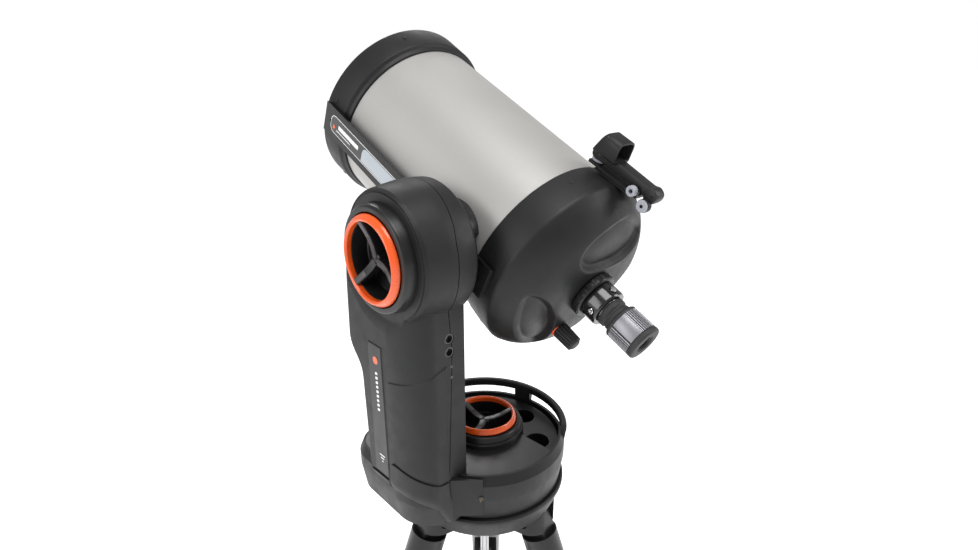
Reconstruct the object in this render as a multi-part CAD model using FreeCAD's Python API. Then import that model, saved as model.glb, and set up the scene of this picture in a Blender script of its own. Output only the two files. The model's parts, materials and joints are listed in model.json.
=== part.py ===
"""Schmidt-Cassegrain telescope on a single-arm computerised fork mount with a folding tripod.

Millimetres, +Z up. Everything is first built about the azimuth axis, with z = 0 at the top of the azimuth
knob's ring, and is moved at the end so that the origin is the middle of the bounding box on the floor.
"""
import FreeCAD, Part
import math
import os

os.makedirs("parts", exist_ok=True)

Vec = FreeCAD.Vector
X_AXIS = Vec(1, 0, 0)
Y_AXIS = Vec(0, 1, 0)
Z_AXIS = Vec(0, 0, 1)

# ---- driving dimensions -------------------------------------------------------------------------------
RING_HEIGHT = 950.0          # floor to the top of the azimuth knob's ring
GAP = 0.3                    # clear space between pieces that move past each other

TUBE_X = 58.8                # optical axis, sideways from the azimuth axis
ALTITUDE_Z = 255.8           # altitude axis
ALTITUDE_REST = 26.1         # tube's tilt at rest, degrees

TUBE_R = 114.0
TUBE_BACK = -48.2            # along the optical axis, from the altitude axis
TUBE_FRONT = 232.4
FRONT_END = 280.0            # front edge of the front cell
BACK_FACE = -134.0           # centre of the rear cell's back
APERTURE_R = 103.0
BAR_OUTER = -125.8           # dovetail bar's outer face, sideways from the optical axis
BAR_INNER = -119.0
BAR_V = 6.0                  # bar's centre line above the optical axis
BAR_HALF = 21.0
BAR_BACK = -80.0
BAR_FRONT = 272.0

ARM_INNER = -80.0            # arm's face on the tube side
ARM_OUTER = -150.0
ARM_REAR = -55.0
ARM_SEAM = -94.0             # seam between the arm's two shells, on the head
ARM_SEAM_FOOT = -110.0       # the same seam at the foot of the arm
ARM_HEAD_Z = 172.0           # height from which the seam leans outwards
SOCKET_X = -101.5            # two sockets on the arm's rear face
SOCKET_Z = (149.5, 165.8)
ARM_WALL = 4.0
KNOB_FACE = -164.4           # outer face of the altitude knob's ring
ARM_HEAD_FACE = -143.6       # round face of the arm's head, behind the knob

DRUM_R = 110.0
DRUM_TOP = -34.0
DRUM_BOTTOM = -86.4
LOBE = (-110.0, 66.0, 40.0)  # rounded corner of the base in front of the arm: x, y, radius
RIM_TOP = -22.0
RAIL_TOP = -10.6
RAIL_BOTTOM = -21.0
TRAY_Z = -38.0
EYEPIECE_HOLES = [(45.0, -58.0), (73.0, -4.0)]
EYEPIECE_HOLE_R = 16.3
EYEPIECE_HOLE_DEPTH = 22.0

HUB_TOP = -88.0
LEG_ANGLES = [47.0, 167.0, -73.0]
LEG_SPLAY = 19.5
LEG_PIVOT_R = 78.0
LEG_PIVOT_Z = -135.0
LEG_R = 25.0
LEG_SPLIT = 520.0            # from the pivot to the end of the outer leg tube
SPREADER_Z = -335.0
GEAR_R = 72.0                # azimuth worm wheel
FINDER_U = 28.0

nodes = {}


# ---- small helpers ------------------------------------------------------------------------------------
def box(x0, x1, y0, y1, z0, z1):
    return Part.makeBox(x1 - x0, y1 - y0, z1 - z0, Vec(x0, y0, z0))


def rod(radius, start, end):
    """A cylinder from one point to another."""
    start = Vec(*start)
    along = Vec(*end) - start
    return Part.makeCylinder(radius, along.Length, start, along)


def pipe(outer, inner, start, end):
    return rod(outer, start, end).cut(rod(inner, start, end))


def turned(outline, axis=Z_AXIS):
    """A solid of revolution from (radius, height) points, about Z, or about X with height along X."""
    if axis is X_AXIS:
        points = [Vec(height, radius, 0) for radius, height in outline]
    else:
        points = [Vec(radius, 0, height) for radius, height in outline]
    face = Part.Face(Part.makePolygon(points + points[:1]))
    return face.revolve(Vec(0, 0, 0), axis, 360)


def prism(outline, z0, z1):
    points = [Vec(x, y, z0) for x, y in outline]
    return Part.Face(Part.makePolygon(points + points[:1])).extrude(Vec(0, 0, z1 - z0))


def fused(*shapes):
    return shapes[0].fuse(list(shapes[1:])).removeSplitter()


def arc(p1, p2, p3):
    return Part.Arc(Vec(*p1), Vec(*p2), Vec(*p3)).toShape()


def line(p1, p2):
    return Part.makeLine(Vec(*p1), Vec(*p2))


def circle_of(count, radius, phase=0.0):
    """Evenly spaced points on a circle, as (x, y, angle in degrees)."""
    for i in range(count):
        angle = phase + 360.0 * i / count
        yield radius * math.cos(math.radians(angle)), radius * math.sin(math.radians(angle)), angle


def softened(shape, radius, wanted):
    """The shape with the edges that wanted() picks rounded."""
    return shape.makeFillet(radius, [edge for edge in shape.Edges if wanted(edge)])


# ---- optical tube, built along +Z with its up side towards -Y, then laid on the optical axis -----------
OPTICAL_AXIS = FreeCAD.Placement(Vec(TUBE_X, 0, ALTITUDE_Z), FreeCAD.Rotation(X_AXIS, ALTITUDE_REST - 90))


def add_on_tube(name, shape):
    shape.Placement = OPTICAL_AXIS.multiply(shape.Placement)
    nodes[name] = shape


def bar_outline(inset):
    """Cross-section of the dovetail bar as x, y: its wide side is the outer one."""
    top = -(BAR_V + BAR_HALF)
    bottom = -(BAR_V - BAR_HALF)
    return [(BAR_OUTER - inset, top - inset), (BAR_OUTER - inset, bottom + inset),
            (BAR_INNER + inset, bottom - 3.5 + inset), (BAR_INNER + inset, top + 3.5 - inset)]


def optical_tube():
    add_on_tube("tube", pipe(TUBE_R, TUBE_R - 1.5, (0, 0, TUBE_BACK - 8), (0, 0, TUBE_FRONT + 8)))

    front = turned([(TUBE_R, TUBE_FRONT), (116.5, TUBE_FRONT), (121.3, TUBE_FRONT + 5), (122.7, FRONT_END - 3),
                    (120.7, FRONT_END), (117.0, FRONT_END), (113.0, FRONT_END - 3), (113.0, 268.0), (106.0, 268.0),
                    (106.0, 262.0), (APERTURE_R, 262.0), (APERTURE_R, TUBE_FRONT + 8), (TUBE_R, TUBE_FRONT + 8)])
    notch = prism(bar_outline(0.0), BAR_BACK, BAR_FRONT)
    add_on_tube("front_cell", front.cut(notch))

    corrector = pipe(105.9, 31.0, (0, 0, 262.0), (0, 0, 266.5))
    add_on_tube("corrector", corrector)

    holder = turned([(0, 246), (30, 246), (30.9, 262), (30.9, 266.5), (36, 266.5), (36, 270), (29, 274), (0, 274)])
    socket = rod(24, (0, 0, 270), (0, 0, 275))
    mirror = rod(24, (0, 0, 241), (0, 0, 245.99))
    add_on_tube("secondary_cell", Part.makeCompound([holder.cut(socket), mirror]))

    shell = turned([(TUBE_R, TUBE_BACK), (115.8, TUBE_BACK), (119, -90), (112, -103), (103, -113), (90, -123),
                    (74, -130), (52, BACK_FACE), (20, BACK_FACE), (20, -128), (70, -124), (86, -117), (98, -108),
                    (108, -98), (112.5, -88), (112.5, TUBE_BACK - 8), (TUBE_R, TUBE_BACK - 8)])
    knob_pad = pipe(15, 6, (-21, 57, -130), (-21, 57, -124))
    shell = shell.fuse(knob_pad.cut(turned([(0, -124), (70, -124), (86, -117), (98, -108), (98, -60), (0, -60)])))
    shell = shell.cut(notch).cut(rod(6, (-21, 57, -140), (-21, 57, -100)))
    shell = shell.cut(rod(14, (-21, 57, -140), (-21, 57, -130.3))).removeSplitter()
    add_on_tube("rear_cell", shell)

    baffle = pipe(19, 17.4, (0, 0, -133.5), (0, 0, 70)).fuse(pipe(26, 17.4, (0, 0, -127.3), (0, 0, -123)))
    add_on_tube("baffle_tube", baffle.removeSplitter())

    glass = pipe(101, 24.5, (0, 0, -92), (0, 0, -76))
    dish = Part.makeSphere(860, Vec(0, 0, -82 + 860))
    sleeve = pipe(24.5, 19.05, (0, 0, -104), (0, 0, -70)).fuse(pipe(30, 24.5, (0, 0, -96), (0, 0, -92)))
    lug = box(-24.5, -17.5, 22, 60, -97, -92.5).cut(rod(24.6, (0, 0, -104), (0, 0, -70)))
    add_on_tube("primary_mirror", Part.makeCompound([glass.cut(dish), fused(sleeve, lug)]))

    grip = turned([(0, -161.5), (8.4, -161.5), (9.6, -159.5), (10.4, -134), (9.0, -130.5), (4.0, -130.5),
                   (4.0, -106), (0, -106)])
    grip.translate(Vec(-21, 57, 0))
    add_on_tube("focus_knob", grip)

    bar = prism(bar_outline(0.0), BAR_BACK, BAR_FRONT)
    bar = bar.cut(box(-122.5, -110, -(BAR_V + 9), -(BAR_V - 9), -30, 215))
    for t in (-66, 256):
        bar = bar.cut(rod(3.1, (BAR_OUTER - 1, -BAR_V, t), (BAR_INNER + 1, -BAR_V, t)))
    add_on_tube("dovetail_bar", bar)

    screws = []
    for t, depth in ((-66, 116.0), (256, 116.0)):
        screws.append(rod(3.05, (BAR_OUTER + 1.0, -BAR_V, t), (-depth, -BAR_V, t)))
    for x, y, angle in circle_of(6, 1.0, 15):
        screws.append(rod(2.4, (34 * x, 34 * y, 270.01), (34 * x, 34 * y, 271.2)))
        screws.append(rod(2.6, (121.8 * x, 121.8 * y, 262), (122.9 * x, 122.9 * y, 262)))
        screws.append(rod(2.6, (117.4 * x, 117.4 * y, -66), (118.4 * x, 118.4 * y, -66)))
    add_on_tube("cell_screws", Part.makeCompound(screws))
    for name in ("front_cell", "rear_cell", "secondary_cell"):
        nodes[name] = nodes[name].cut(nodes["cell_screws"])


def visual_back():
    ring = turned([(23.5, -134.2), (29.5, -134.2), (29.5, -143.2), (28.3, -144.2), (23.5, -144.2)])
    for x, y, angle in circle_of(24, 30.3):
        ring = ring.cut(rod(1.4, (x, y, -145), (x, y, -134)))
    add_on_tube("visual_back_ring", ring)

    body = turned([(16.0, -134.2), (23.2, -134.2), (23.2, -144.6), (24.2, -144.6), (24.2, -164.5), (23.2, -165.5),
                   (15.95, -165.5), (15.95, -136)])
    for angle in (180, 270):
        side = (math.cos(math.radians(angle)), math.sin(math.radians(angle)))
        body = body.cut(rod(2.6, (14 * side[0], 14 * side[1], -157), (26 * side[0], 26 * side[1], -157)))
        screw = rod(2.52, (16.3 * side[0], 16.3 * side[1], -157), (26.3 * side[0], 26.3 * side[1], -157))
        head = rod(3.6, (24.6 * side[0], 24.6 * side[1], -157), (28.2 * side[0], 28.2 * side[1], -157))
        add_on_tube("visual_screw_1" if angle == 180 else "visual_screw_2", screw.fuse(head).removeSplitter())
    add_on_tube("visual_back", body)

    barrel = pipe(15.87, 14.2, (0, 0, -137), (0, 0, -166.2))
    flange = turned([(13, -166.2), (18.6, -166.2), (18.6, -174), (17, -176), (17, -181.2), (22.4, -182.5),
                     (22.4, -219), (20.8, -222), (10, -222), (10, -219), (13, -214)])
    eye = rod(12.9, (0, 0, -172), (0, 0, -176)).fuse(rod(9.9, (0, 0, -214.1), (0, 0, -219)))
    add_on_tube("eyepiece", Part.makeCompound([fused(barrel, flange), eye]))


def finder():
    """Red-dot sight: foot on the rear cell, cradle that turns sideways, body that tilts, and three knobs."""
    u = FINDER_U
    foot = box(u - 12, u + 12, -119.5, -100, -112, -56).cut(rod(119.2, (0, 0, -125), (0, 0, -40)))
    pivot = rod(4, (u, -123, -62), (u, -119, -62))
    add_on_tube("finder_bracket", fused(foot, pivot))

    cradle = box(u - 10, u + 10, -123.2, -119.8, -118, -44).cut(rod(4.05, (u, -130, -62), (u, -110, -62)))
    cradle = cradle.fuse(rod(2.0, (u, -126.6, -50), (u, -122, -50)))
    for side in (-1, 1):
        ear = box(-1.3, 1.3, -131, -122, -118, -106)
        ear.translate(Vec(u + side * 9.6, 0, 0))
        cradle = cradle.fuse(ear)
    cradle = cradle.cut(rod(2.05, (u - 12, -127, -112), (u + 12, -127, -112)))
    add_on_tube("finder_cradle", cradle.removeSplitter())

    rail = box(u - 8, u + 8, -139, -127.2, -126, -46)
    rail = rail.fuse(rod(2.0, (u - 10.8, -127, -112), (u + 10.8, -127, -112)))
    hub = rod(9, (u - 8, -131.5, -129), (u + 8, -131.5, -129))
    hub = hub.fuse(rod(8, (u - 8, -120.5, -131), (u + 8, -120.5, -131)))
    hood = box(u - 15, u + 15, -161, -137, -76, -50)
    hood = softened(hood, 5, lambda e: abs(e.BoundBox.ZLength - 26) < 0.1 and e.BoundBox.YMin < -160)
    hood = hood.cut(box(u - 12.5, u + 12.5, -158.5, -139.0, -77, -49))
    rail = rail.cut(rod(2.05, (u - 9, -120.5, -131), (u - 1, -120.5, -131)))
    hub = hub.cut(rod(2.05, (u - 9, -120.5, -131), (u - 1, -120.5, -131)))
    add_on_tube("finder_body", fused(rail, hub, hood))

    tilt = pipe(8, 2.05, (u, -126.4, -50), (u, -123.5, -50))
    pan = pipe(6.0, 2.6, (u - 17.5, -127, -112), (u - 11.3, -127, -112))
    power = fused(rod(7.0, (u - 16, -120.5, -131), (u - 8.3, -120.5, -131)),
                  rod(2.0, (u - 9, -120.5, -131), (u - 2, -120.5, -131)))
    add_on_tube("finder_tilt_knob", tilt)
    add_on_tube("finder_pan_knob", pan)
    add_on_tube("finder_power_knob", power)


# ---- altitude axis ------------------------------------------------------------------------------------
def altitude_parts():
    centre = FreeCAD.Placement(Vec(0, 0, ALTITUDE_Z), FreeCAD.Rotation())

    hub = turned([(0, ARM_INNER + GAP), (47, ARM_INNER + GAP), (51, ARM_INNER + 6), (51, -43), (0, -43)], X_AXIS)
    hub.Placement = centre
    shaft = turned([(0, -132.1), (15, -132.1), (15, -97.5), (20, -97.5), (20, ARM_INNER - 3.5),
                    (15, ARM_INNER - 3.5), (15, ARM_INNER + GAP), (0, ARM_INNER + GAP)], X_AXIS)
    shaft.Placement = centre
    nodes["altitude_shaft"] = shaft

    tube_space = rod(TUBE_R + 1.2, (0, 0, -80), (0, 0, 120))
    cell_space = rod(121.5, (0, 0, -140), (0, 0, -34))
    channel = box(-133.5, -90, -(BAR_V + 27), -(BAR_V - 27), -90, 90)
    for space in (tube_space, cell_space, channel):
        space.Placement = OPTICAL_AXIS
    nodes["altitude_hub"] = hub.cut(tube_space).cut(cell_space).cut(channel).removeSplitter()

    block = box(-133.5, -120.6, -(BAR_V + 27), -(BAR_V - 27), -40, 40)
    block = block.cut(prism(bar_outline(GAP), -50, 50))
    block = block.cut(box(-121, -100, -(BAR_V + 19), -(BAR_V - 19), -50, 50))
    block = block.cut(rod(5.05, (-127.2, -(BAR_V - 20), 0), (-127.2, -(BAR_V - 28), 0)))
    block.Placement = OPTICAL_AXIS
    nodes["saddle"] = block

    knob = rod(5.0, (-127.2, -(BAR_V - 21.8), 0), (-127.2, 62, 0))
    knob = knob.fuse(rod(10.5, (-127.2, 56, 0), (-127.2, 74, 0)))
    for x, y, angle in circle_of(6, 11.6):
        knob = knob.cut(rod(2.2, (-127.2 + x, 55, y), (-127.2 + x, 75, y)))
    knob.Placement = OPTICAL_AXIS
    nodes["saddle_knob"] = knob.removeSplitter()
    stem_space = rod(5.6, (-127.2, -(BAR_V - 27), 0), (-127.2, 60, 0))
    stem_space.Placement = OPTICAL_AXIS
    nodes["altitude_hub"] = nodes["altitude_hub"].cut(stem_space)


def clutch_knob(outer, opening, depth, first_spoke):
    """A cup with three spokes, its open face at height 0 and its stem side below, with a ring on the rim."""
    cup = turned([(0, -depth), (outer - 3, -depth), (outer - 1.5, -8), (opening, -8), (opening, -depth + 4),
                  (0, -depth + 4)])
    for x, y, angle in circle_of(3, 1.0, first_spoke):
        spoke = box(0, opening + 0.5, -4.5, 4.5, -depth + 3, -8.5)
        spoke = spoke.cut(rod(60, (opening * 0.3, -10, 46.5), (opening * 0.3, 10, 46.5)))
        spoke.rotate(Vec(0, 0, 0), Z_AXIS, angle)
        cup = cup.fuse(spoke)
    cup = cup.fuse(rod(8, (0, 0, -depth), (0, 0, -12.5)))
    ring = turned([(opening + 1.5, -7.99), (outer - 1.0, -7.99), (outer, -6.5), (outer, -2), (outer - 2, 0),
                   (opening + 3.2, 0), (opening + 1.5, -1.6)])
    return cup.removeSplitter(), ring


def knobs():
    cup, ring = clutch_knob(43.9, 36.5, 29.0, 93)
    nodes["azimuth_knob"] = cup
    nodes["azimuth_knob_ring"] = ring
    cup, ring = clutch_knob(50.5, 42.5, 32.0, 16)
    outward = FreeCAD.Placement(Vec(KNOB_FACE, 0, ALTITUDE_Z), FreeCAD.Rotation(Y_AXIS, -90))
    for name, shape in (("altitude_knob", cup), ("altitude_knob_ring", ring)):
        shape.Placement = outward
        nodes[name] = shape


# ---- arm ----------------------------------------------------------------------------------------------
def arm_section(z, front, outer, inset):
    """The arm's plan outline at one height, as a closed wire that is the same shape at every height."""
    x0 = ARM_INNER - inset
    x1 = outer + inset
    y0 = ARM_REAR + inset
    y1 = front - inset
    corner = (x1 + x0) / 2 - 5
    return Part.Wire([
        line((x0, y0, z), (x0, y1, z)),
        line((x0, y1, z), (x1 + 7, y1, z)),
        arc((x1 + 7, y1, z), (x1 + 2.05, y1 - 2.05, z), (x1, y1 - 7, z)),
        line((x1, y1 - 7, z), (x1, 0, z)),
        arc((x1, 0, z), (x1 + (corner - x1) * 0.3, y0 * 0.64, z), (corner, y0, z)),
        line((corner, y0, z), (x0, y0, z)),
    ])


def arm_solid(inset):
    levels = [(DRUM_BOTTOM + inset, 53.0, -114.0), (-42.0, 54.5, ARM_OUTER), (105.0, 58.0, ARM_OUTER),
              (133.0, 81.5, ARM_OUTER), (258.0, 82.0, -146.0)]
    body = Part.makeLoft([arm_section(z, front, outer, inset) for z, front, outer in levels], True, True)
    face = ARM_HEAD_FACE + inset
    head = turned([(0, ARM_INNER - inset), (76.3 - inset, ARM_INNER - inset), (79 - inset, -95),
                   (78.6 - inset, -110), (77 - inset, -122), (74.5 - inset, -140), (72.5 - inset, face),
                   (0, face)], X_AXIS)
    dish = turned([(0, face), (74, face), (90, -150.4 + inset), (100, -170), (0, -170)], X_AXIS)
    for shape in (head, dish):
        shape.translate(Vec(0, 0, ALTITUDE_Z))
    return body.cut(dish).fuse(head).removeSplitter()


def arm_parts():
    shells = arm_solid(0.0).cut(arm_solid(ARM_WALL))
    axis = FreeCAD.Placement(Vec(0, 0, ALTITUDE_Z), FreeCAD.Rotation())
    knob_well = rod(53.5, (-170, 0, 0), (-129, 0, 0))
    knob_well.Placement = axis
    well_wall = pipe(56, 53.5, (ARM_HEAD_FACE + 1, 0, 0), (-125, 0, 0)).fuse(pipe(56, 15.6, (-128, 0, 0), (-125, 0, 0)))
    well_wall.Placement = axis
    bearing_hole = rod(24, (-100, 0, 0), (-70, 0, 0))
    bearing_hole.Placement = axis
    shells = shells.cut(knob_well).fuse(well_wall).cut(bearing_hole)
    for z in SOCKET_Z:
        shells = shells.cut(rod(6.4, (SOCKET_X, ARM_REAR - 2, z), (SOCKET_X, ARM_REAR + 6, z)))
    base_space = prism([(-200, -200), (200, -200), (200, 200), (-200, 200)], -300, DRUM_BOTTOM)
    base_plate_space = rod(96.5, (0, 0, -95), (0, 0, -79.7))
    shells = shells.cut(base_space).cut(base_plate_space)
    outer_side = prism([(-200, -100), (ARM_SEAM_FOOT, -100), (ARM_SEAM, ARM_HEAD_Z), (ARM_SEAM, 400),
                        (-200, 400)], -200, 200)
    outer_side.rotate(Vec(0, 0, 0), X_AXIS, 90)
    nodes["arm_outer_shell"] = shells.common(outer_side)
    outer_side.translate(Vec(0.05, 0, 0))
    nodes["arm_inner_shell"] = shells.cut(outer_side)

    sockets = []
    for z in SOCKET_Z:
        socket = rod(6.35, (SOCKET_X, ARM_REAR + 0.6, z), (SOCKET_X, ARM_REAR + 5.9, z))
        sockets.append(socket.cut(rod(4.4, (SOCKET_X, ARM_REAR, z), (SOCKET_X, ARM_REAR + 4.5, z))))
    jack = rod(3.0, (-78.3, -79.8, -50), (-77.35, -78.8, -50))
    jack = jack.cut(rod(1.2, (-79, -80.6, -50), (-77.6, -79.0, -50)))
    nodes["arm_sockets"] = Part.makeCompound(sockets + [jack])

    wedge = prism([(-106, ARM_REAR - 0.3), (-76, -80.5), (-60, -70), (-85, -45)], -76, RIM_TOP)
    wedge = wedge.cut(rod(DRUM_R + 0.4, (0, 0, -200), (0, 0, 0)))
    wedge = wedge.cut(box(-200, ARM_INNER + 0.2, ARM_REAR, 100, -200, 300))
    wedge = wedge.cut(rod(3.2, (-79.5, -81.1, -50), (-75.9, -77.2, -50)))
    nodes["arm_foot_panel"] = max(wedge.Solids, key=lambda s: s.Volume)

    battery = softened(box(-136, -104, -28, 34, -20, 88), 4, lambda e: e.Length > 60)
    nodes["battery_pack"] = battery


# ---- base ---------------------------------------------------------------------------------------------
def base_wire(inset, z):
    """The base's plan outline: the drum's circle, the lobe in front of the arm, and the arm's foot."""
    r = DRUM_R - inset
    lobe_x, lobe_y, lobe_r = LOBE
    lobe_r -= inset
    away = math.atan2(lobe_y, lobe_x)
    tangent = away - math.acos((DRUM_R - LOBE[2]) / math.hypot(lobe_x, lobe_y))
    tx, ty = math.cos(tangent), math.sin(tangent)
    rear = ARM_REAR + inset
    meet = -math.sqrt(r * r - rear * rear)
    outer = lobe_x - lobe_r
    corner = -122 + inset
    left = (tangent + math.pi) / 2
    return Part.Wire([
        arc((meet, rear, z), (r * math.cos(-0.7), r * math.sin(-0.7), z), (r * tx, r * ty, z)),
        line((r * tx, r * ty, z), (lobe_x + lobe_r * tx, lobe_y + lobe_r * ty, z)),
        arc((lobe_x + lobe_r * tx, lobe_y + lobe_r * ty, z),
            (lobe_x + lobe_r * math.cos(left), lobe_y + lobe_r * math.sin(left), z), (outer, lobe_y, z)),
        line((outer, lobe_y, z), (outer, 0, z)),
        arc((outer, 0, z), (outer + (corner - outer) * 0.3, rear * 0.64, z), (corner, rear, z)),
        line((corner, rear, z), (meet, rear, z)),
    ])


def base_solid(levels):
    return Part.makeLoft([base_wire(inset, z) for inset, z in levels], True, True)


def base_parts():
    arm_space = arm_solid(0.0)
    walls = base_solid([(0, DRUM_TOP), (0, -52), (5.4, DRUM_BOTTOM)])
    hollow = base_solid([(4, DRUM_TOP + 1), (4, -52), (9.4, DRUM_BOTTOM - 1)])
    floor = base_solid([(5.9, -76.5), (6.6, -79.7)]).cut(rod(30, (0, 0, -90), (0, 0, -70)))
    drum = walls.cut(hollow).fuse(floor).removeSplitter().cut(arm_space)
    nodes["drum_shell"] = max(drum.Solids, key=lambda s: s.Volume)

    rim = base_solid([(0, DRUM_TOP), (5, RIM_TOP)]).cut(base_solid([(8, DRUM_TOP - 1), (8, RIM_TOP + 1)]))
    sweep_from, window_1, post, window_2, end = -50, (-43, 7), (7, 21), (21, 106), 118
    rail = turned([(104.5, RAIL_BOTTOM), (111.0, RAIL_BOTTOM), (112.4, RAIL_BOTTOM + 2), (112.4, RAIL_TOP - 2),
                   (110.6, RAIL_TOP), (106.3, RAIL_TOP), (104.5, RAIL_TOP - 2)])
    posts = turned([(104.5, DRUM_TOP), (110.0, DRUM_TOP), (112.0, RAIL_BOTTOM + 1), (104.5, RAIL_BOTTOM + 1)])
    ring = rail.common(sector(sweep_from, end, 130, RAIL_BOTTOM - 1, RAIL_TOP + 1))
    for low, high in ((sweep_from, window_1[0]), post, (window_2[1], end)):
        ring = ring.fuse(posts.common(sector(low, high, 130, DRUM_TOP - 1, RAIL_TOP)))
    rim = rim.cut(sector(window_1[0], window_2[1], 130, DRUM_TOP - 2, RIM_TOP + 1))
    handle = rim.fuse(ring).removeSplitter().cut(arm_space)
    nodes["carry_handle"] = max(handle.Solids, key=lambda s: s.Volume)

    tray = base_solid([(8.1, TRAY_Z - 3), (8.1, TRAY_Z)])
    tray = tray.cut(rod(46, (0, 0, -60), (0, 0, 0)))
    for x, y in EYEPIECE_HOLES:
        tray = tray.fuse(rod(EYEPIECE_HOLE_R + 2.5, (x, y, TRAY_Z - EYEPIECE_HOLE_DEPTH - 2), (x, y, TRAY_Z)))
    for x, y in EYEPIECE_HOLES:
        tray = tray.cut(rod(EYEPIECE_HOLE_R, (x, y, TRAY_Z - EYEPIECE_HOLE_DEPTH), (x, y, TRAY_Z + 1)))
    tray = tray.removeSplitter().cut(arm_space)
    nodes["eyepiece_tray"] = max(tray.Solids, key=lambda s: s.Volume)

    left_of_edge = prism([(-200, -110), (27, -110), (23, -40), (23, 110), (-200, 110)], TRAY_Z - 1, RIM_TOP + 1)
    cover = base_solid([(8.1, TRAY_Z), (8.1, RIM_TOP)]).cut(base_solid([(11, TRAY_Z - 1), (11, RIM_TOP - 3)]))
    skirt = prism([(24, -110), (27, -110), (23, -40), (23, 110), (20, 110), (20, -40)], TRAY_Z, RIM_TOP)
    skirt = skirt.common(base_solid([(8.1, TRAY_Z), (8.1, RIM_TOP)]))
    cover = cover.common(left_of_edge).fuse(skirt).cut(rod(46.0, (0, 0, -60), (0, 0, 0)))
    cover = cover.removeSplitter().cut(arm_space).cut(nodes["carry_handle"])
    nodes["tray_cover"] = max(cover.Solids, key=lambda s: s.Volume)

    azimuth_bezel = turned([(44.6, TRAY_Z), (45.9, TRAY_Z), (45.9, RIM_TOP), (53.5, RIM_TOP), (52.0, -16),
                            (49.5, -8.5), (46.0, -7.0), (44.6, -8.5)])
    seat = ARM_HEAD_FACE - 0.05
    altitude_bezel = turned([(51, seat), (60.8, seat), (60.5, -146), (59.3, -155), (57.5, -157.2),
                             (52.2, -157.2), (51, -155.8)], X_AXIS)
    altitude_bezel.translate(Vec(0, 0, ALTITUDE_Z))
    nodes["knob_bezels"] = Part.makeCompound([azimuth_bezel, altitude_bezel])

    gear = pipe(GEAR_R, 20.3, (0, 0, -71), (0, 0, -63))
    for x, y, angle in circle_of(60, GEAR_R + 0.6):
        gear = gear.cut(rod(1.5, (x, y, -72), (x, y, -62)))
    nodes["azimuth_gear"] = gear

    worm = rod(5.0, (-8, -GEAR_R - 5.8, -67), (22, -GEAR_R - 5.8, -67))
    azimuth_motor = worm.fuse(rod(9, (-42, -GEAR_R - 10.5, -65), (-8, -GEAR_R - 10.5, -65)))
    altitude_motor = rod(16, (-118, 0, 112), (-118, 0, 168)).fuse(rod(5, (-118, 0, 168), (-118, 0, 190)))
    nodes["drive_motors"] = Part.makeCompound([azimuth_motor.removeSplitter(), altitude_motor.removeSplitter()])

    low_bearing = pipe(30, 20.05, (0, 0, -79.5), (0, 0, -71))
    arm_bearing = pipe(24, 20.3, (-97, 0, 0), (-84, 0, 0))
    arm_bearing.translate(Vec(0, 0, ALTITUDE_Z))
    inner_race = pipe(24, 15.05, (ARM_INNER - 3.4, 0, 0), (ARM_INNER, 0, 0))
    inner_race.translate(Vec(0, 0, ALTITUDE_Z))
    nodes["axis_bearings"] = Part.makeCompound([low_bearing, arm_bearing.fuse(inner_race).removeSplitter()])


def sector(low, high, radius, z0, z1):
    """A pie slice about the azimuth axis, from one plan angle to another."""
    slice_ = Part.makeCylinder(radius, z1 - z0, Vec(0, 0, z0), Z_AXIS, high - low)
    slice_.rotate(Vec(0, 0, 0), Z_AXIS, low)
    return slice_


# ---- tripod -------------------------------------------------------------------------------------------
def leg_place(angle):
    turn = FreeCAD.Rotation(Z_AXIS, angle).multiply(FreeCAD.Rotation(Y_AXIS, -LEG_SPLAY))
    a = math.radians(angle)
    return FreeCAD.Placement(Vec(LEG_PIVOT_R * math.cos(a), LEG_PIVOT_R * math.sin(a), LEG_PIVOT_Z), turn)


def tripod_head():
    hub = turned([(0, HUB_TOP), (108, HUB_TOP), (110, HUB_TOP - 2), (110, -94), (100, -119), (97, -121), (94, -121),
                  (94, -97), (22, -97), (22, -127), (0, -127)])
    fasteners = []
    for angle in LEG_ANGLES:
        lug = box(56, 106, -31, 31, -150, -96.5)
        lug = lug.common(rod(31, (75, 0, -160), (75, 0, -90)).fuse(box(50, 75, -31, 31, -160, -90)))
        slot = box(40, 120, -15.3, 15.3, -160, -106)
        lug = lug.cut(slot)
        lug = lug.cut(rod(5.05, (LEG_PIVOT_R, -40, LEG_PIVOT_Z), (LEG_PIVOT_R, 40, LEG_PIVOT_Z)))
        pin = rod(5.0, (LEG_PIVOT_R, -27, LEG_PIVOT_Z), (LEG_PIVOT_R, 27, LEG_PIVOT_Z))
        bolt = rod(4, (62, 46, -97.0), (62, 46, -101))
        for shape in (lug, pin, bolt):
            shape.rotate(Vec(0, 0, 0), Z_AXIS, angle)
        hub = hub.fuse(lug)
        fasteners += [pin, bolt]
    hub = hub.cut(rod(6.0, (0, 0, -130), (0, 0, -97)))
    nodes["tripod_hub"] = hub.removeSplitter()
    nodes["hub_fasteners"] = Part.makeCompound(fasteners)
    nodes["tension_rod"] = rod(5.95, (0, 0, -98), (0, 0, -590))

    plate = turned([(0, HUB_TOP), (95, HUB_TOP), (95, -81), (31, -81), (31, -80.2), (20, -80.2), (20, -34.5),
                    (0, -34.5)])
    nodes["azimuth_base"] = plate


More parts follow.
